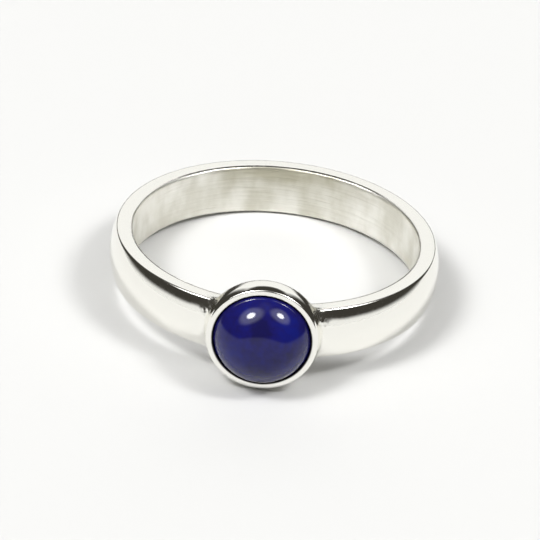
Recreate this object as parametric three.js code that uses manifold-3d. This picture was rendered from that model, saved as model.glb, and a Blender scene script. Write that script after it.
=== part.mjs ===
// Gemstone ring: a low-domed silver band, a round bezel cup soldered to it, and a blue cabochon in the cup.
// Millimetres. The ring lies on its side: its axis is close to +Z, and the stone faces -Y.
import * as THREE from "three";
import { mergeVertices } from "three/addons/utils/BufferGeometryUtils.js";
import Module from "manifold-3d";

const wasm = await Module();
wasm.setup();

// Band, a flat-backed wire with a low crown
const BORE_RADIUS = 8.65;
const BAND_WIDTH = 3.2;
const RIM_WALL = 0.95;
const CROWN_RISE = 0.35;
const OUTER_EDGE_ROUND = 0.08;
const BORE_EDGE_ROUND = 0.2;

// Bezel cup, measured along its own axis from the centre of the ring
const CUP_RADIUS = 3.38;
const CUP_BACK = 9.3;
const CUP_LIP = 10.5;
const CUP_EDGE_ROUND = 0.16;
const LEAN_START = 10.05;
const LIP_LEAN = 0.3;
const LIP_OUTER_ROUND = 0.08;
const LIP_INNER_ROUND = 0.1;
const LIP_INNER_RADIUS = 2.84;
const LIP_UNDERSIDE = 10.15;
const SEAT_RADIUS = 3.05;
const SEAT_FLOOR = 9.6;

// Solder between the cup and the band
const SOLDER_REACH = 0.6;
const SOLDER_FOOT = 8.9;
const SOLDER_TOP = 9.8;
const SOLDER_WIDTH = 2.9;

// Cabochon, half of an oval turned about the cup's axis and cut flat at its back
const STONE_RADIUS = 2.97;
const STONE_BACK = 9.7;
const STONE_OVAL_CENTRE = 9.5;
const STONE_TOP = 12.4;
const STONE_BACK_BEVEL = 0.15;

// Facets
const BAND_SEGMENTS = 96;
const CUP_SEGMENTS = 60;
const CROWN_STEPS = 10;
const EDGE_STEPS = 3;
const LIP_STEPS = 4;
const DOME_STEPS = 14;
const WELD_DISTANCE = 1e-5;

const HALF_WIDTH = BAND_WIDTH / 2;
const RIM_RADIUS = BORE_RADIUS + RIM_WALL;

// Points on an arc of a lathe profile, with the angles in radians
function arc(x, y, radius, from, to, steps) {
  const points = [];
  for (let i = 0; i <= steps; i += 1) {
    const angle = from + ((to - from) * i) / steps;
    points.push(new THREE.Vector2(x + radius * Math.cos(angle), y + radius * Math.sin(angle)));
  }
  return points;
}

// A profile turned about the Y axis, with a flat facet, not a corner, at its front and back
function turned(points, segments) {
  return new THREE.LatheGeometry(points, segments, Math.PI / segments);
}

// A closed solid for joining and cutting
function solid(geometry) {
  const bare = geometry.clone();
  bare.deleteAttribute("normal");
  bare.deleteAttribute("uv");
  const welded = mergeVertices(bare, WELD_DISTANCE);
  const vertProperties = new Float32Array(welded.attributes.position.array);
  const triVerts = new Uint32Array(welded.index.array);
  return new wasm.Manifold(new wasm.Mesh({ numProp: 3, vertProperties, triVerts }));
}

function geometryOf(manifold) {
  const mesh = manifold.getMesh();
  const geometry = new THREE.BufferGeometry();
  geometry.setAttribute("position", new THREE.BufferAttribute(mesh.vertProperties, 3));
  geometry.setIndex(new THREE.BufferAttribute(mesh.triVerts, 1));
  return geometry;
}

// Band: flat bore, flat side rims and a crown that is one wide arc, with every edge rounded
function bandGeometry() {
  const crownRadius = (HALF_WIDTH ** 2 + CROWN_RISE ** 2) / (2 * CROWN_RISE);
  const crownCentre = RIM_RADIUS + CROWN_RISE - crownRadius;
  const edgeHeight = HALF_WIDTH - OUTER_EDGE_ROUND;
  const edgeReach = Math.sqrt((crownRadius - OUTER_EDGE_ROUND) ** 2 - edgeHeight ** 2);
  const edgeCentre = crownCentre + edgeReach;
  const edgeAngle = Math.atan2(edgeHeight, edgeReach);
  const boreCentre = BORE_RADIUS + BORE_EDGE_ROUND;
  const boreHeight = HALF_WIDTH - BORE_EDGE_ROUND;
  const quarter = Math.PI / 2;
  const points = [
    ...arc(boreCentre, -boreHeight, BORE_EDGE_ROUND, Math.PI, 3 * quarter, EDGE_STEPS),
    ...arc(edgeCentre, -edgeHeight, OUTER_EDGE_ROUND, -quarter, -edgeAngle, EDGE_STEPS),
    ...arc(crownCentre, 0, crownRadius, -edgeAngle, edgeAngle, CROWN_STEPS).slice(1, -1),
    ...arc(edgeCentre, edgeHeight, OUTER_EDGE_ROUND, edgeAngle, quarter, EDGE_STEPS),
    ...arc(boreCentre, boreHeight, BORE_EDGE_ROUND, quarter, Math.PI, EDGE_STEPS),
  ];
  points.push(points[0].clone());
  return turned(points, BAND_SEGMENTS).rotateX(quarter);
}

// Outside of the cup: a straight wall, and a lip that leans in over the stone as a burnisher leaves it
function cupGeometry() {
  const edgeCentre = CUP_RADIUS - CUP_EDGE_ROUND;
  const lipHeight = CUP_LIP - LIP_OUTER_ROUND;
  const leanEnd = lipHeight + LIP_OUTER_ROUND * Math.sin(LIP_LEAN);
  const leanRadius = CUP_RADIUS - (leanEnd - LEAN_START) * Math.tan(LIP_LEAN);
  const lipCentre = leanRadius - LIP_OUTER_ROUND * Math.cos(LIP_LEAN);
  const points = [
    new THREE.Vector2(0, CUP_BACK),
    ...arc(edgeCentre, CUP_BACK + CUP_EDGE_ROUND, CUP_EDGE_ROUND, -Math.PI / 2, 0, EDGE_STEPS),
    new THREE.Vector2(CUP_RADIUS, LEAN_START),
    ...arc(lipCentre, lipHeight, LIP_OUTER_ROUND, LIP_LEAN, Math.PI / 2, LIP_STEPS),
    new THREE.Vector2(0, CUP_LIP),
  ];
  return turned(points, CUP_SEGMENTS).rotateX(Math.PI);
}

// Hollow of the cup: the seat, the undercut that grips the stone, and the round inner edge of the lip
function seatGeometry() {
  const roundCentre = LIP_INNER_RADIUS + LIP_INNER_ROUND;
  const clear = CUP_LIP + LIP_INNER_ROUND;
  const points = [
    new THREE.Vector2(0, SEAT_FLOOR),
    new THREE.Vector2(SEAT_RADIUS, SEAT_FLOOR),
    new THREE.Vector2(SEAT_RADIUS, LIP_UNDERSIDE),
    ...arc(roundCentre, CUP_LIP - LIP_INNER_ROUND, LIP_INNER_ROUND, Math.PI, Math.PI / 2, EDGE_STEPS),
    new THREE.Vector2(roundCentre, clear),
    new THREE.Vector2(0, clear),
  ];
  return turned(points, CUP_SEGMENTS).rotateX(Math.PI);
}

// Solder: a cone that fills the corner under the cup, trimmed to the width of the band
function solderManifold() {
  const points = [
    new THREE.Vector2(0, SOLDER_FOOT),
    new THREE.Vector2(CUP_RADIUS + SOLDER_REACH, SOLDER_FOOT),
    new THREE.Vector2(CUP_RADIUS - CUP_EDGE_ROUND, SOLDER_TOP),
    new THREE.Vector2(0, SOLDER_TOP),
  ];
  const cone = turned(points, CUP_SEGMENTS).rotateX(Math.PI);
  const across = 2 * (CUP_RADIUS + SOLDER_REACH) + SOLDER_REACH;
  const trim = new THREE.BoxGeometry(across, 2 * CUP_LIP, SOLDER_WIDTH).translate(0, -CUP_LIP, 0);
  return solid(cone).intersect(solid(trim));
}

// Cabochon
function stoneGeometry() {
  const rise = STONE_TOP - STONE_OVAL_CENTRE;
  const backAngle = Math.asin((STONE_BACK + STONE_BACK_BEVEL - STONE_OVAL_CENTRE) / rise);
  const points = [
    new THREE.Vector2(0, STONE_BACK),
    new THREE.Vector2(STONE_RADIUS - STONE_BACK_BEVEL, STONE_BACK),
  ];
  for (let i = 0; i < DOME_STEPS; i += 1) {
    const angle = backAngle + ((Math.PI / 2 - backAngle) * i) / DOME_STEPS;
    const height = STONE_OVAL_CENTRE + rise * Math.sin(angle);
    points.push(new THREE.Vector2(STONE_RADIUS * Math.cos(angle), height));
  }
  points.push(new THREE.Vector2(0, STONE_TOP));
  return turned(points, CUP_SEGMENTS).rotateX(Math.PI);
}

const silver = new THREE.MeshStandardMaterial({ color: 0xefede4, metalness: 1, roughness: 0.15 });
silver.name = "silver";
const blue = new THREE.MeshStandardMaterial({ color: 0x1d1a72, metalness: 0, roughness: 0.08 });
blue.name = "blue_stone";

const soldered = solid(bandGeometry()).add(solid(cupGeometry())).add(solderManifold());
const metal = soldered.subtract(solid(seatGeometry()));

const band = new THREE.Mesh(geometryOf(metal), silver);
band.name = "band_with_bezel_cup";

const stone = new THREE.Mesh(stoneGeometry(), blue);
stone.name = "blue_cabochon";

// The cup is wider than the band, so the ring rests on the cup's lower back edge and on the far lower rim
const REST_TILT = Math.atan2(CUP_RADIUS - HALF_WIDTH, CUP_BACK + RIM_RADIUS);

const ring = new THREE.Group();
ring.name = "gemstone_ring";
ring.add(band, stone);
ring.rotation.x = -REST_TILT;
ring.updateMatrixWorld(true);

// Origin at the middle of the ring's box, on the surface it lies on
const box = new THREE.Box3().setFromObject(ring, true);
const middle = box.getCenter(new THREE.Vector3());
ring.position.set(-middle.x, -middle.y, -box.min.z);
ring.updateMatrixWorld(true);

export default ring;
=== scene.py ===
# %% [markdown]
# Gemstone ring
#
# A finger ring in two pieces: the silver, which is a low-domed band with a round bezel cup soldered to its
# front, and a polished cabochon of opaque deep-blue stone that the cup's lip holds. It lies on its side.
# The CAD solids are faceted, and polished silver shows every facet, so both pieces get a smooth skin here.

import math

import bmesh
import bpy
import numpy as np
from mathutils import Euler, Matrix, Vector


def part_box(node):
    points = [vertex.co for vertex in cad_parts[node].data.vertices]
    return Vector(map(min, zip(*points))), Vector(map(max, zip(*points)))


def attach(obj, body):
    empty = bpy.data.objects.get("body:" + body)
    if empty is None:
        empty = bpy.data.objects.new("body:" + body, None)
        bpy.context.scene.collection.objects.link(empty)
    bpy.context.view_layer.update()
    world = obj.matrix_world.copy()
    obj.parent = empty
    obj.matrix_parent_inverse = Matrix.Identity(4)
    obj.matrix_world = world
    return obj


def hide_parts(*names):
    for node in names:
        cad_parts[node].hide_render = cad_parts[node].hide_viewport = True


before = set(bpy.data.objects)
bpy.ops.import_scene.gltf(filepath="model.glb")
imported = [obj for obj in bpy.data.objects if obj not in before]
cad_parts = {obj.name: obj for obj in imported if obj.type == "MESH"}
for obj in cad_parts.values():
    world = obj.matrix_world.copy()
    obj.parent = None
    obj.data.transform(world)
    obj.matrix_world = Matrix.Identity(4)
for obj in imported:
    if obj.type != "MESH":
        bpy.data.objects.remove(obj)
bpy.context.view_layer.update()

# %% [markdown]
# The ring's own frame
#
# A goldsmith measures a ring from its centre: the band turns about one axis and the cup about another that
# leaves the centre through the stone. The cup is wider than the band, so a ring that lies on its side rests
# on the cup's lower edge and on the far rim, a few degrees off level. All shapes are worked out in
# millimetres in the ring's own frame, with the band's axis along Z and the stone towards -Y, and are turned
# into place last.

# %% Sizes and the way the ring lies
MM = 0.001
HALF_WIDTH = 1.6
RIM_RADIUS = 9.6
CUP_RADIUS = 3.38
CUP_BACK = 9.3
RING_CENTRE = Vector((0.0, 1.2206, 2.4878)) * MM  # where the solids have it, from the middle of their base
REST_TILT = -math.atan2(CUP_RADIUS - HALF_WIDTH, CUP_BACK + RIM_RADIUS)
lying = Euler((REST_TILT, 0, 0))
ring_to_row = Matrix.Translation(RING_CENTRE) @ lying.to_matrix().to_4x4()
print("the ring lies tilted by", round(-math.degrees(REST_TILT), 2), "degrees")

# %% [markdown]
# A bench for node trees
#
# Shapes and finishes are both node trees, and long trees are hard to read when each node takes four lines.
# These helpers put a node down, set what is fixed and wire what varies, in one line each. A ramp fades a
# value smoothly from one number to another, so the zones below are written as pairs: where a fade starts and
# where it ends. Two more numbers, if there are any, say what the fade gives at those two places.


# %% Helpers that put nodes on a tree
class Bench:
    """A node tree with short ways to put nodes on it and wire them."""

    def __init__(self, tree):
        self.tree = tree

    def plug(self, socket, value):
        if isinstance(value, bpy.types.NodeSocket):
            self.tree.links.new(value, socket)
        else:
            socket.default_value = value

    def put(self, kind, wires=None, **settings):
        node = self.tree.nodes.new(kind)
        for name, value in settings.items():
            setattr(node, name, value)
        for name, value in (wires or {}).items():
            self.plug(node.inputs[name], value)
        return node

    def calc(self, operation, *values):
        node = self.put("ShaderNodeMath", operation=operation)
        for socket, value in zip(node.inputs, values):
            self.plug(socket, value)
        return node.outputs[0]

    def product(self, first, *others):
        for other in others:
            first = self.calc("MULTIPLY", first, other)
        return first

    def total(self, first, *others):
        for other in others:
            first = self.calc("ADD", first, other)
        return first

    def long_side(self, a, b):
        """The longest side of a right-angled triangle."""
        return self.calc("SQRT", self.calc("MULTIPLY_ADD", a, a, self.calc("MULTIPLY", b, b)))

    def vector(self, operation, *values):
        node = self.put("ShaderNodeVectorMath", operation=operation)
        for socket, value in zip(node.inputs, values):
            self.plug(socket, value)
        return node.outputs["Value" if operation in ("LENGTH", "DOT_PRODUCT") else "Vector"]

    def split(self, vector):
        return self.put("ShaderNodeSeparateXYZ", {"Vector": vector}).outputs[:]

    def join(self, x, y, z):
        return self.put("ShaderNodeCombineXYZ", {"X": x, "Y": y, "Z": z}).outputs[0]

    def ramp(self, value, low, high, start=0.0, end=1.0):
        wires = {"Value": value, "From Min": low, "From Max": high, "To Min": start, "To Max": end}
        return self.put("ShaderNodeMapRange", wires, interpolation_type="SMOOTHSTEP").outputs[0]

    def noise(self, vector, scale, detail=2.0):
        wires = {"Vector": vector, "Scale": scale, "Detail": detail}
        return self.put("ShaderNodeTexNoise", wires).outputs[0]

    def blend(self, factor, first, second, **settings):
        """One colour over another, by a factor from 0 to 1."""
        node = self.put("ShaderNodeMix", {"Factor": factor}, data_type="RGBA", **settings)
        self.plug(node.inputs["A"], first)
        self.plug(node.inputs["B"], second)
        return node.outputs["Result"]


def shape_tree(name, sizes, result, start=None):
    """An empty Geometry Nodes tree with named sizes, and with a shape to start from if that is named."""
    tree = bpy.data.node_groups.new(name, "GeometryNodeTree")
    if start:
        tree.interface.new_socket(start, in_out="INPUT", socket_type="NodeSocketGeometry")
    for size in sizes:
        tree.interface.new_socket(size, in_out="INPUT", socket_type="NodeSocketFloat")
    tree.interface.new_socket(result[0], in_out="OUTPUT", socket_type=result[1])
    bench = Bench(tree)
    return bench, bench.put("NodeGroupInput").outputs, bench.put("NodeGroupOutput").inputs


# %% [markdown]
# The silver as one distance
#
# On the real ring the cup is soldered to the band, so the metal is one body with a soft fillet between its
# two parts. It could be two swept meshes and a boolean, but then the fillet has to be beveled along a ragged
# seam, and polished metal shows every mark of that. Here the metal is a rule: a number that is negative
# inside the silver, positive outside it and zero on its skin. The maximum of two such numbers is what both
# shapes share, and the minimum joins them. Their smooth versions round an edge as polishing does, or fill a
# corner as solder does.

# %% Sizes of the silver
EDGE = 1.757  # blend width of a smooth maximum that rounds a square edge by one unit
RIM_WALL = 0.95
CROWN_RISE = 0.35
LIP_LEAN = 0.3
crown_radius = (HALF_WIDTH**2 + CROWN_RISE**2) / (2 * CROWN_RISE)
SILVER_SIZES = {
    "Bore radius": RIM_RADIUS - RIM_WALL,
    "Half width": HALF_WIDTH,
    "Crown radius": crown_radius,
    "Crown centre": RIM_RADIUS + CROWN_RISE - crown_radius,
    "Outer edge": 0.08 * EDGE,
    "Bore edge": 0.2 * EDGE,
    "Cup radius": CUP_RADIUS,
    "Cup back": CUP_BACK,
    "Cup edge": 0.16 * EDGE,
    "Cup lip": 10.5,
    "Lean start": 10.05,
    "Lean": math.tan(LIP_LEAN),
    "Lean edge": 0.1,
    "Lip edge": 0.08 * EDGE,
    "Seat floor": 9.6,
    "Seat radius": 3.05,
    "Lip opening": 2.84,
    "Lip underside": 10.15,
    "Lip narrowest": 10.4,
    "Lip inner edge": 0.1 * EDGE,
    "Solder": 0.8,
    "Solder reach": 0.7,
    "Solder lumps": 0.09,
    "Hand finish": 0.012,
}
print("crown radius", round(crown_radius, 3), "mm")

# %% The band in the rule
silver_rule, size, result = shape_tree("silver_rule", SILVER_SIZES, ("Distance", "NodeSocketFloat"))
silver_rule.tree.interface.new_socket("Point", in_out="INPUT", socket_type="NodeSocketVector")
b = silver_rule
point = size["Point"]
x, y, z = b.split(point)

around = b.long_side(x, y)
from_crown_centre = b.long_side(b.calc("SUBTRACT", around, size["Crown centre"]), z)
crown = b.calc("SUBTRACT", from_crown_centre, size["Crown radius"])
side = b.calc("SUBTRACT", b.calc("ABSOLUTE", z), size["Half width"])
bore = b.calc("SUBTRACT", size["Bore radius"], around)
flat_wire = b.calc("SMOOTH_MAX", side, bore, size["Bore edge"])
band = b.calc("SMOOTH_MAX", flat_wire, crown, size["Outer edge"])

# %% The cup in the rule
out = b.calc("MULTIPLY", y, -1.0)
across = b.long_side(x, z)
straight = b.calc("SUBTRACT", across, size["Cup radius"])
leaning = b.calc("MULTIPLY_ADD", b.calc("SUBTRACT", out, size["Lean start"]), size["Lean"], straight)
leaning = b.calc("MULTIPLY", leaning, math.cos(LIP_LEAN))
wall = b.calc("SMOOTH_MAX", straight, leaning, size["Lean edge"])
front = b.calc("SUBTRACT", out, size["Cup lip"])
back = b.calc("SUBTRACT", size["Cup back"], out)
cup = b.calc("SMOOTH_MAX", b.calc("SMOOTH_MAX", wall, front, size["Lip edge"]), back, size["Cup edge"])

# %% Solder, the unevenness of handwork and the seat
NOISE_MIDDLE = 0.5
LUMPS_PER_MM, WAVES_PER_MM = 2.4, 0.45
LUMPS_BELOW_RIM = (0.05, -0.25, 0.2, 1.0)
soldered = b.calc("SMOOTH_MIN", band, cup, size["Solder"])
from_joint = b.calc("ABSOLUTE", b.calc("SUBTRACT", band, cup))
near_joint = b.ramp(from_joint, 0.0, size["Solder reach"], start=1.0, end=0.0)
near_joint = b.product(near_joint, b.ramp(side, *LUMPS_BELOW_RIM))
lumps = b.calc("SUBTRACT", b.noise(point, LUMPS_PER_MM, detail=1.0), NOISE_MIDDLE)
lumps = b.product(lumps, near_joint, size["Solder lumps"])
waves = b.calc("SUBTRACT", b.noise(point, WAVES_PER_MM, detail=1.0), NOISE_MIDDLE)
uneven = b.total(soldered, lumps, b.product(waves, size["Hand finish"]))

opening = b.ramp(out, size["Lip underside"], size["Lip narrowest"], size["Seat radius"], size["Lip opening"])
below_seat = b.calc("SUBTRACT", size["Seat floor"], out)
hollow = b.calc("MAXIMUM", below_seat, b.calc("SUBTRACT", across, opening))
silver = b.calc("SMOOTH_MAX", uneven, b.calc("MULTIPLY", hollow, -1.0), size["Lip inner edge"])
b.plug(result["Distance"], silver)
print("silver_rule:", len(b.tree.nodes), "nodes")

# %% [markdown]
# The silver's skin
#
# A rule has no mesh yet. A block of voxels samples it, Volume to Mesh lays a rough skin round what is inside,
# and each point of that skin is then pulled along the rule's slope until the number there is zero. Some
# smoothing between the pulls evens out the faces, so that reflections run across them without a ripple.


# %% The pull towards the surface
def use_tree(bench, used, sizes):
    """Another tree as one node, fed with this tree's own sizes."""
    node = bench.put("GeometryNodeGroup", node_tree=used.tree)
    for name in SILVER_SIZES:
        bench.plug(node.inputs[name], sizes[name])
    return node


def distance_at(bench, sizes, where):
    """The silver's rule at a place."""
    node = use_tree(bench, silver_rule, sizes)
    bench.plug(node.inputs["Point"], where)
    return node.outputs["Distance"]


silver_pull, size, result = shape_tree("silver_pull", SILVER_SIZES, ("Offset", "NodeSocketVector"))
b = silver_pull
STEP = 0.01
place = b.put("GeometryNodeInputPosition").outputs[0]
here = distance_at(b, size, place)
slopes = []
for axis in np.eye(3):
    beside = distance_at(b, size, b.vector("ADD", place, tuple(STEP * axis)))
    slopes.append(b.calc("DIVIDE", b.calc("SUBTRACT", beside, here), STEP))
slope = b.join(*slopes)
amount = b.calc("DIVIDE", here, b.vector("DOT_PRODUCT", slope, slope))
scaled = b.put("ShaderNodeVectorMath", {0: slope}, operation="SCALE")
b.plug(scaled.inputs["Scale"], b.calc("MULTIPLY", amount, -1.0))
b.plug(result["Offset"], scaled.outputs[0])


def pulled(bench, sizes, skin, times):
    """A skin after some pulls towards the surface."""
    for _ in range(times):
        offset = use_tree(bench, silver_pull, sizes).outputs[0]
        skin = bench.put("GeometryNodeSetPosition", {"Geometry": skin, "Offset": offset}).outputs[0]
    return skin


print("silver_pull:", len(silver_pull.tree.nodes), "nodes")

# %% The tree that makes the skin
VOXEL = 0.12
SMOOTHING_ROUNDS = 4
BLOCK_LOW, BLOCK_HIGH = Vector((-10.15, -10.75, -3.55)), Vector((10.15, 10.15, 3.55))
SHAPE_OUT = ("Geometry", "NodeSocketGeometry")
skin_tree, size, result = shape_tree("silver_skin", SILVER_SIZES, SHAPE_OUT)
b = skin_tree
place = b.put("GeometryNodeInputPosition").outputs[0]
wires = {"Value": distance_at(b, size, place), "From Min": VOXEL, "From Max": -VOXEL}
density = b.put("ShaderNodeMapRange", wires).outputs[0]
counts = {f"Resolution {n}": round((h - l) / VOXEL) for n, l, h in zip("XYZ", BLOCK_LOW, BLOCK_HIGH)}
wires = {"Density": density, "Min": BLOCK_LOW, "Max": BLOCK_HIGH, **counts}
block = b.put("GeometryNodeVolumeCube", wires).outputs[0]
skin = b.put("GeometryNodeVolumeToMesh", {"Volume": block, "Threshold": 0.5}).outputs[0]

skin = pulled(b, size, skin, times=2)
even = b.put("GeometryNodeBlurAttribute", data_type="FLOAT_VECTOR")
b.plug(even.inputs["Value"], place)
b.plug(even.inputs["Iterations"], SMOOTHING_ROUNDS)
skin = b.put("GeometryNodeSetPosition", {"Geometry": skin, "Position": even.outputs[0]}).outputs[0]
b.plug(result["Geometry"], pulled(b, size, skin, times=1))
print("block of", " x ".join(str(n) for n in counts.values()), "voxels")


# %% Out of the ring's frame and onto the floor
def laid_down(bench, shape, finish):
    """Turns a shape from the ring's own millimetres into place, smooth and with its finish."""
    wires = {"Geometry": shape, "Translation": RING_CENTRE, "Rotation": lying, "Scale": (MM,) * 3}
    shape = bench.put("GeometryNodeTransform", wires).outputs[0]
    shape = bench.put("GeometryNodeSetShadeSmooth", {"Geometry": shape}).outputs[0]
    shape = bench.put("GeometryNodeRealizeInstances", {"Geometry": shape}).outputs[0]
    return bench.put("GeometryNodeSetMaterial", {"Geometry": shape, "Material": finish}).outputs[0]


silver_tree, size, result = shape_tree("silver_ring", SILVER_SIZES, SHAPE_OUT, start="Skin")
silver_tree.tree.interface.new_socket("Finish", in_out="INPUT", socket_type="NodeSocketMaterial")
b = silver_tree
rounded = pulled(b, size, size["Skin"], times=3)
b.plug(result["Geometry"], laid_down(b, rounded, size["Finish"]))
print("silver_ring tree:", len(b.tree.nodes), "nodes")

# %% [markdown]
# From a tree to a mesh
#
# A Geometry Nodes tree works as a modifier on some object. It could stay there, live, but a finished piece is
# handed on as a plain mesh. So a host object runs the tree once, the evaluated result is copied out, and the
# host is removed.


# %% Run a tree and keep what it makes
def run_tree(bench, inputs, start):
    """Runs a tree on a starting mesh and returns the result as a plain mesh."""
    host = bpy.data.objects.new("host", start)
    bpy.context.scene.collection.objects.link(host)
    nodes = host.modifiers.new("shape", "NODES")
    nodes.node_group = bench.tree
    for item in bench.tree.interface.items_tree:
        if item.in_out == "INPUT" and item.name in inputs:
            nodes[item.identifier] = inputs[item.name]
    graph = bpy.context.evaluated_depsgraph_get()
    mesh = bpy.data.meshes.new_from_object(host.evaluated_get(graph))
    bpy.data.objects.remove(host)
    bpy.data.meshes.remove(start)
    return mesh


def made(name, bench, sizes, finish, start):
    """Runs a tree with its sizes and finish and keeps the result as an object."""
    mesh = run_tree(bench, {**sizes, "Finish": finish}, start)
    mesh.name = name
    piece = bpy.data.objects.new(name, mesh)
    bpy.context.scene.collection.objects.link(piece)
    mesh.calc_loop_triangles()
    print(name, "has", len(mesh.loop_triangles), "triangles")
    return piece


# %% [markdown]
# Finer faces along the edges
#
# The band's outer edges and the edges of the cup are rounded by about a tenth of a millimetre, which is finer
# than the voxels. A finer block would put most of its faces on the flats, where nothing needs them,
# so the faces near an edge are halved twice instead, before the last pulls round them off.


# %% How near an edge is
CORNER_SHARE = 0.4


def to_nearest_edge(points):
    """How far points are from the band's outer edges and the cup's three edges, in millimetres.

    The soldered corner is wider than an edge, so its distance counts for less.
    """
    around, height = np.hypot(points[:, 0], points[:, 1]), np.abs(points[:, 2])
    across, out = np.hypot(points[:, 0], points[:, 2]), -points[:, 1]
    band_edge = np.hypot(around - RIM_RADIUS, height - HALF_WIDTH)
    cup_edge = np.hypot(across - CUP_RADIUS, out - CUP_BACK)
    lip = SILVER_SIZES["Cup lip"]
    lip_radius = CUP_RADIUS - (lip - SILVER_SIZES["Lean start"]) * SILVER_SIZES["Lean"]
    outer_lip = np.hypot(across - lip_radius, out - lip)
    inner_lip = np.hypot(across - SILVER_SIZES["Lip opening"], out - lip)
    crown = np.hypot(around - SILVER_SIZES["Crown centre"], height) - crown_radius
    band = np.max([crown, height - HALF_WIDTH, SILVER_SIZES["Bore radius"] - around], axis=0)
    cup = np.maximum(across - CUP_RADIUS, CUP_BACK - out)
    corner = CORNER_SHARE * np.hypot(band, cup)
    return np.min([band_edge, cup_edge, outer_lip, inner_lip, corner], axis=0)


# %% Halve the faces near an edge
EDGE_REACHES = (0.18, 0.07)
silver_skin = run_tree(skin_tree, SILVER_SIZES, bpy.data.meshes.new("empty"))
work = bmesh.new()
work.from_mesh(silver_skin)
bmesh.ops.triangulate(work, faces=work.faces[:])
for reach in EDGE_REACHES:
    middles = np.array([(edge.verts[0].co + edge.verts[1].co) / 2 for edge in work.edges])
    near = to_nearest_edge(middles) < reach
    halved = [edge for edge, is_near in zip(work.edges, near) if is_near]
    bmesh.ops.subdivide_edges(work, edges=halved, cuts=1, use_grid_fill=True)
    bmesh.ops.triangulate(work, faces=work.faces[:])
    print("faces after halving those within", reach, "mm of an edge:", len(work.faces))
work.to_mesh(silver_skin)
work.free()


# %% [markdown]
# The cabochon
#
# A cabochon is ground as half of an oval, flat at the back, and polished all over its dome. A subdivided
# sphere would do, but the profile is a plain rule too: a sphere is stretched into the oval, and a smooth
# maximum grinds its back flat with a small bevel.

# %% The tree for the cabochon
STONE_SEGMENTS, STONE_RINGS = 192, 144
STONE_SIZES = {
    "Stone radius": 2.97,
    "Oval centre": 9.5,
    "Stone top": 12.4,
    "Stone back": 9.7,
    "Back bevel": 0.15,
}
stone_tree, size, result = shape_tree("cabochon", STONE_SIZES, SHAPE_OUT)
stone_tree.tree.interface.new_socket("Finish", in_out="INPUT", socket_type="NodeSocketMaterial")
b = stone_tree
wires = {"Segments": STONE_SEGMENTS, "Rings": STONE_RINGS, "Radius": 1.0}
ball = b.put("GeometryNodeMeshUVSphere", wires).outputs["Mesh"]
x, y, z = b.split(b.put("GeometryNodeInputPosition").outputs[0])
rise = b.calc("SUBTRACT", size["Stone top"], size["Oval centre"])
dome = b.calc("MULTIPLY_ADD", z, rise, size["Oval centre"])
height = b.calc("SMOOTH_MAX", dome, size["Stone back"], size["Back bevel"])
wide = [b.calc("MULTIPLY", side, size["Stone radius"]) for side in (x, y)]
outward = b.join(wide[0], b.calc("MULTIPLY", height, -1.0), wide[1])
stone_shape = b.put("GeometryNodeSetPosition", {"Geometry": ball, "Position": outward}).outputs[0]
b.plug(result["Geometry"], laid_down(b, stone_shape, size["Finish"]))
print("cabochon tree:", len(b.tree.nodes), "nodes")

# %% [markdown]
# Silver
#
# Outside, the ring is polished: almost a mirror, a little warm, with the fine marks that handling leaves.
# Inside the bore the polish was left satin, with faint streaks that run round the finger and a random dull
# mottle, and its far side carries painted shade, darkest in a band just under the far rim. The lip's inner
# edge at the stone is painted dark as the shade in the gap. One material per zone would leave hard borders,
# so a single finish reads the ring's own millimetres from the object's coordinates and fades between bore,
# rim, joint and the painted seam shade at the stone.


# %% Coordinates that follow the ring
def ring_coordinates(bench):
    """The shaded point in the ring's own millimetres."""
    place = bench.put("ShaderNodeTexCoord").outputs["Object"]
    wires = {"Vector": place, "Location": RING_CENTRE, "Rotation": lying, "Scale": (MM,) * 3}
    return bench.put("ShaderNodeMapping", wires, vector_type="TEXTURE").outputs[0]


def finish_tree(name):
    """A new material with its bench and the sockets of its shader."""
    material = bpy.data.materials.new(name)
    material.use_nodes = True
    bench = Bench(material.node_tree)
    return material, bench, material.node_tree.nodes["Principled BSDF"].inputs


# %% Zones of the silver
silver_finish, b, shader = finish_tree("polished_silver")
place = ring_coordinates(b)
x, y, z = b.split(place)
around = b.long_side(x, y)
across = b.long_side(x, z)
out = b.calc("MULTIPLY", y, -1.0)
height = b.calc("ABSOLUTE", z)

BORE = (8.80, 8.66)
JOINT_ACROSS, JOINT_FOOT, JOINT_TOP = (4.3, 3.4), (7.5, 8.5), (9.9, 9.5)
RIM_FOOT, RIM_TOP, RIM_END = (1.48, 1.58), (1.75, 1.65), (9.4, 9.2)
SEAM_SHADE_ACROSS, SEAM_SHADE_FOOT = (2.99, 2.92), (9.9, 10.3)
in_bore = b.ramp(around, *BORE)
at_joint = b.product(b.ramp(across, *JOINT_ACROSS), b.ramp(out, *JOINT_FOOT), b.ramp(out, *JOINT_TOP))
on_rim = b.product(b.ramp(height, *RIM_FOOT), b.ramp(height, *RIM_TOP), b.ramp(out, *RIM_END))
# The lip's inner edge next to the stone is a zone of painted shade, standing for the shade in the gap between
# lip and stone.
in_seam_shade = b.product(b.ramp(across, *SEAM_SHADE_ACROSS), b.ramp(out, *SEAM_SHADE_FOOT))

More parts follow.
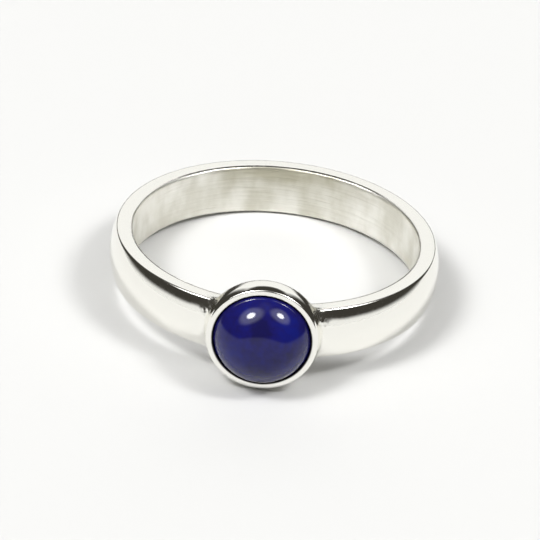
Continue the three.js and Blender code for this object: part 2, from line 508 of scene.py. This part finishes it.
# %% Polish and satin
STREAK_STRETCH, SMEAR_STRETCH = (0.35, 0.35, 5.0), (-0.6, 0.6, 0.35)
SCUFFS_PER_MM = 6.0
POLISH = (0.35, 0.75, 0.05, 0.11)
SATIN, SATIN_SMEAR = (0.3, 0.7, 0.34, 0.46), (0.35, 0.7, 0.0, 0.10)
JOINT_ROUGHER = RIM_ROUGHER = 0.08
streaks = b.noise(b.vector("MULTIPLY", place, STREAK_STRETCH), scale=1.0, detail=4.0)
smears = b.noise(b.vector("MULTIPLY", place, SMEAR_STRETCH), scale=1.0, detail=3.0)
scuffs = b.noise(place, SCUFFS_PER_MM, detail=5.0)
satin = b.total(b.ramp(streaks, *SATIN), b.ramp(smears, *SATIN_SMEAR))
wires = {"Factor": in_bore, "A": b.ramp(scuffs, *POLISH), "B": satin}
roughness = b.put("ShaderNodeMix", wires).outputs[0]
roughness = b.calc("MULTIPLY_ADD", at_joint, JOINT_ROUGHER, roughness)
b.plug(shader["Roughness"], b.calc("MULTIPLY_ADD", on_rim, RIM_ROUGHER, roughness))
shader["Metallic"].default_value = 1.0

# %% Colour of the silver
# The dull colour serves both the bore's random dull mottle and the painted shade on its far side.
BRIGHT_SILVER, DULL_AND_SHADED_SILVER = (0.93, 0.92, 0.87, 1.0), (0.52, 0.50, 0.40, 1.0)
# Painted shade: the near-black colour of the gap between the lip and the stone.
SEAM_GAP_SHADE = (0.05, 0.045, 0.045, 1.0)
DULL_SMEARS = (0.3, 0.7, 0.0, 0.45)
# Painted shade: the bore's far side is darkened, more towards its top, and a band just under the far rim is
# darker still.
FAR_SHADE_SIDE, FAR_SHADE_UPPER = (7.0, 8.4), (-1.0, 1.5, 0.2, 0.55)
UNDER_RIM_SHADE_SIDE, UNDER_RIM_SHADE_UPPER = (7.9, 8.4), (0.4, 1.2, 0.0, 0.3)
far_side_shade = b.product(b.ramp(y, *FAR_SHADE_SIDE), b.ramp(z, *FAR_SHADE_UPPER))
under_rim_shade = b.product(b.ramp(y, *UNDER_RIM_SHADE_SIDE), b.ramp(z, *UNDER_RIM_SHADE_UPPER))
# The random dull smears are the satin's own tone; the far-side and under-rim terms are painted shade.
dull_and_shade = b.total(b.ramp(smears, *DULL_SMEARS), far_side_shade, under_rim_shade)
dulled_and_shaded = b.blend(b.product(in_bore, dull_and_shade), BRIGHT_SILVER, DULL_AND_SHADED_SILVER)
# The seam at the stone is painted dark over the silver: painted shade in the gap between lip and stone.
b.plug(shader["Base Color"], b.blend(in_seam_shade, dulled_and_shaded, SEAM_GAP_SHADE))

# %% Grain of the silver
BUMP_HEIGHT = 0.02 * MM
BORE_GRAIN, SCUFF_GRAIN = 2.5, 0.02
FILE_STRETCH, FILE_GRAIN = (7.0, 1.0, 0.8), (1.6, 1.4, 0.0, 0.8)
marks = b.noise(b.vector("MULTIPLY", place, FILE_STRETCH), scale=1.0, detail=2.0)
file_marks = b.product(marks, at_joint, b.ramp(height, *FILE_GRAIN))
grain = b.total(b.product(streaks, in_bore, BORE_GRAIN), file_marks, b.product(scuffs, SCUFF_GRAIN))
bump = b.put("ShaderNodeBump", {"Height": grain, "Strength": 1.0, "Distance": BUMP_HEIGHT})
b.plug(shader["Normal"], bump.outputs[0])
print("polished_silver:", len(b.tree.nodes), "nodes")

# %% [markdown]
# Blue stone
#
# The stone is opaque and deep ultramarine, a little mottled from navy to violet, under a glassy polish. One
# flat blue would look like enamel, so two sizes of noise mix three tones, and two soft patches stand for the
# lighter and the darker part of the upper dome.

# %% The stone finish
stone_finish, b, shader = finish_tree("blue_stone")
place = ring_coordinates(b)
CLOUDS_PER_MM, VEINS_PER_MM = 0.7, 2.6
CLOUD_SHARE, VEIN_SHARE = 0.65, 0.35
clouds = b.noise(place, CLOUDS_PER_MM, detail=3.0)
veins = b.noise(place, VEINS_PER_MM, detail=4.0)
mottle = b.total(b.product(clouds, CLOUD_SHARE), b.product(veins, VEIN_SHARE))

# Patches on the dome: centre, reach and how much lighter
PATCHES = (((1.4, -11.7, 1.2), 1.5, 0.22), ((-0.1, -11.9, 1.4), 1.0, -0.14))
for centre, reach, lighter in PATCHES:
    away = b.vector("LENGTH", b.vector("SUBTRACT", place, centre))
    mottle = b.total(mottle, b.product(b.ramp(away, reach, 0.0), lighter))

# Tones: place on the ramp and colour
TONES = ((0.34, (0.008, 0.007, 0.056)), (0.5, (0.009, 0.008, 0.090)), (0.7, (0.007, 0.010, 0.138)))
tones = b.put("ShaderNodeValToRGB", {"Fac": mottle})
tones.color_ramp.elements.new(0.5)
for element, (position, tone) in zip(tones.color_ramp.elements, TONES):
    element.position = position
    element.color = (*tone, 1.0)
b.plug(shader["Base Color"], tones.outputs[0])
shader["Roughness"].default_value = 0.05
shader["IOR"].default_value = 1.5
shader["Specular IOR Level"].default_value = 0.33
print("blue_stone:", len(b.tree.nodes), "nodes")

# %% [markdown]
# Both pieces
#
# Each tree is run once, and its result is kept as a plain mesh that stands for one of the CAD solids. The
# skins should sit on their solids, so the difference between their boxes is printed: it should be hundredths
# of a millimetre.

# %% Make both pieces
silver_piece = made("silver_ring", silver_tree, SILVER_SIZES, silver_finish, silver_skin)
stone_piece = made("blue_stone", stone_tree, STONE_SIZES, stone_finish, bpy.data.meshes.new("empty"))
for piece, node, slot in (
    (silver_piece, "band_with_bezel_cup", "silver"),
    (stone_piece, "blue_cabochon", "blue_stone"),
):
    corners = np.array([v.co for v in piece.data.vertices])
    low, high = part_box(node)
    below = np.round((corners.min(0) - low) / MM, 3)
    above = np.round((corners.max(0) - high) / MM, 3)
    print(piece.name, "box less its solid's, mm:", below, above)
    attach(piece, "root")
    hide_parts(node)

# %% [markdown]
# Floor
#
# An oval white card, matt, so that it only catches the ring's soft shadow. A plane as wide as the room would
# do, but polished silver would show it as one flat white, so the card is small, and it fades out towards its
# edge, so that it blends into the backdrop. It is longer than it is wide, because the dark line on the band's
# shoulders starts where the silver shows the card's edge.

# %% The floor
CARD_WIDE, CARD_LONG = 36 * MM, 60 * MM
CARD_FADE = (1.0, 0.75)
CARD_WHITE = (0.612, 0.612, 0.604, 1.0)
bpy.ops.mesh.primitive_circle_add(vertices=128, radius=1.0, fill_type="NGON")
floor = bpy.context.object
floor.name = "floor"
floor.data.transform(Matrix.Diagonal((CARD_WIDE, CARD_LONG, 1.0, 1.0)))
floor_finish, b, shader = finish_tree("white_card")
card = b.vector("DIVIDE", b.put("ShaderNodeTexCoord").outputs["Object"], (CARD_WIDE, CARD_LONG, 1.0))
b.plug(shader["Alpha"], b.ramp(b.vector("LENGTH", card), *CARD_FADE))
shader["Base Color"].default_value = CARD_WHITE
shader["Roughness"].default_value = 0.9
shader["Specular IOR Level"].default_value = 0.1
floor.data.materials.append(floor_finish)
print("card of", round(2 * CARD_WIDE / MM), "by", round(2 * CARD_LONG / MM), "mm")

# %% [markdown]
# Light
#
# Polished silver shows the room more than itself. A white wall behind the ring keeps the rims white, and a
# white table below keeps the crown and the cup's lip white. Between the table's edge and the lamps the room
# is dark, which draws the dark line along the band's shoulder and the dark crescent over the cup's lip, and
# keeps the upper half of the stone deep blue. Straight above is a small grey patch of ceiling. Two soft boxes
# hang above the camera, each with a bright lamp in its middle. All this could be lamps and cards, but a world
# that works out its brightness from the direction is quicker to tune. The camera itself sees only a plain
# pale backdrop.

# %% The room as a world
world = bpy.data.worlds.new("studio")
bpy.context.scene.world = world
world.use_nodes = True
b = Bench(world.node_tree)
world.node_tree.nodes.clear()
towards = b.put("ShaderNodeTexCoord").outputs["Generated"]
x, y, z = b.split(towards)
NEVER_ZERO = 0.001
level = b.calc("MAXIMUM", b.long_side(x, y), NEVER_ZERO)
front = b.calc("DIVIDE", b.calc("MULTIPLY", y, -1.0), level)
sideways = b.calc("DIVIDE", b.calc("ABSOLUTE", x), level)

# %% The white wall, the ceiling and the table
WALL_FOOT, WALL_TOP, WALL_BEHIND, WALL_ENDS = (0.14, 0.24), (0.74, 0.64), (-0.05, -0.3), (0.75, 0.5)
CEILING = (0.95, 1.0, 0.0, 0.35)
TABLE_RISE, TABLE_BEND = 0.15, (0.55, 1.25, -0.085, 0.275)
TABLE_FADE = (0.06, -0.06, 0.0, 0.9)
wall = b.product(b.ramp(z, *WALL_FOOT), b.ramp(z, *WALL_TOP))
wall = b.product(wall, b.ramp(front, *WALL_BEHIND), b.ramp(sideways, *WALL_ENDS))
ceiling = b.ramp(z, *CEILING)
table_edge = b.calc("MULTIPLY_ADD", front, TABLE_RISE, b.ramp(front, *TABLE_BEND))
table = b.ramp(b.calc("SUBTRACT", z, table_edge), *TABLE_FADE)
white = b.calc("MAXIMUM", b.calc("MAXIMUM", wall, ceiling), table)

# %% The soft boxes
# Azimuth from the stone's direction, elevation and lean in degrees, and width as a share
BOXES = ((-50.6, 52.7, -22.0, 1.1), (68.2, 52.7, 14.0, 0.93))
BOX_WIDE, BOX_HIGH = (math.sin(math.radians(d)) for d in (17, 26))
CLOTH_GLOW, LAMP_GLOW = (1.15, 0.65, 0.0, 3.0), (0.42, 0.24, 0.0, 36.0)
glow = 0.0
for azimuth, elevation, lean, width in BOXES:
    a, e = math.radians(azimuth), math.radians(elevation)
    aim = Vector((math.sin(a) * math.cos(e), -math.cos(a) * math.cos(e), math.sin(e)))
    aim = ring_to_row.to_3x3() @ aim
    print("soft box towards", [round(c, 2) for c in aim])
    wide = Matrix.Rotation(math.radians(lean), 3, aim) @ aim.cross((0, 0, 1)).normalized()
    high = wide.cross(aim)
    along = b.calc("DIVIDE", b.vector("DOT_PRODUCT", towards, wide), BOX_WIDE * width)
    upright = b.calc("DIVIDE", b.vector("DOT_PRODUCT", towards, high), BOX_HIGH * width)
    reach = b.long_side(along, upright)
    facing = b.calc("GREATER_THAN", b.vector("DOT_PRODUCT", towards, aim), 0.0)
    shine = b.total(b.ramp(reach, *CLOTH_GLOW), b.ramp(reach, *LAMP_GLOW))
    glow = b.calc("MULTIPLY_ADD", shine, facing, glow)

# %% The room's colours and the backdrop
DARK_ROOM, WHITE_ROOM = (0.045, 0.042, 0.036, 1.0), (1.0, 1.0, 0.985, 1.0)
BACKDROP = (0.975, 0.975, 0.962, 1.0)
room = b.blend(white, DARK_ROOM, WHITE_ROOM)
lit = b.blend(1.0, room, b.join(glow, glow, glow), blend_type="ADD")
seen = b.put("ShaderNodeLightPath").outputs["Is Camera Ray"]
sky = b.put("ShaderNodeBackground", {"Color": b.blend(seen, lit, BACKDROP)})
b.put("ShaderNodeOutputWorld", {"Surface": sky.outputs[0]})
bpy.context.scene.view_settings.view_transform = "Standard"
print("studio:", len(b.tree.nodes), "nodes")

# %% [markdown]
# Camera
#
# The camera stands where the photograph's did, as seen from the ring: about 28 degrees above the plane of the
# band, a little to the right of the stone, and rolled so that the ring's right side sits lower. The lens is
# longer, so that the ring fills more of the frame.

# %% The camera
CAMERA_AZIMUTH, CAMERA_ELEVATION, CAMERA_ROLL = (math.radians(d) for d in (1.55, 28.09, 5.16))
CAMERA_DISTANCE = 237.2 * MM
LENS = 262.0
TARGET = Vector((-0.15, -1.2, -0.35)) * MM
away = Vector((
    math.sin(CAMERA_AZIMUTH) * math.cos(CAMERA_ELEVATION),
    -math.cos(CAMERA_AZIMUTH) * math.cos(CAMERA_ELEVATION),
    math.sin(CAMERA_ELEVATION),
))
camera = bpy.data.objects.new("camera", bpy.data.cameras.new("camera"))
bpy.context.scene.collection.objects.link(camera)
camera.data.lens = LENS
camera.data.clip_start, camera.data.clip_end = 0.01, 10.0
stand = ring_to_row @ (away * CAMERA_DISTANCE)
line = (stand - ring_to_row @ TARGET).normalized()
right = (ring_to_row.to_3x3() @ Vector((0, 0, 1))).cross(line).normalized()
axes = Matrix((right, line.cross(right), line)).transposed().to_4x4()
camera.matrix_world = Matrix.Translation(stand) @ axes @ Matrix.Rotation(CAMERA_ROLL, 4, "Z")
bpy.context.scene.camera = camera
print("the camera looks down at", round(math.degrees(math.asin(line.z)), 1), "degrees")
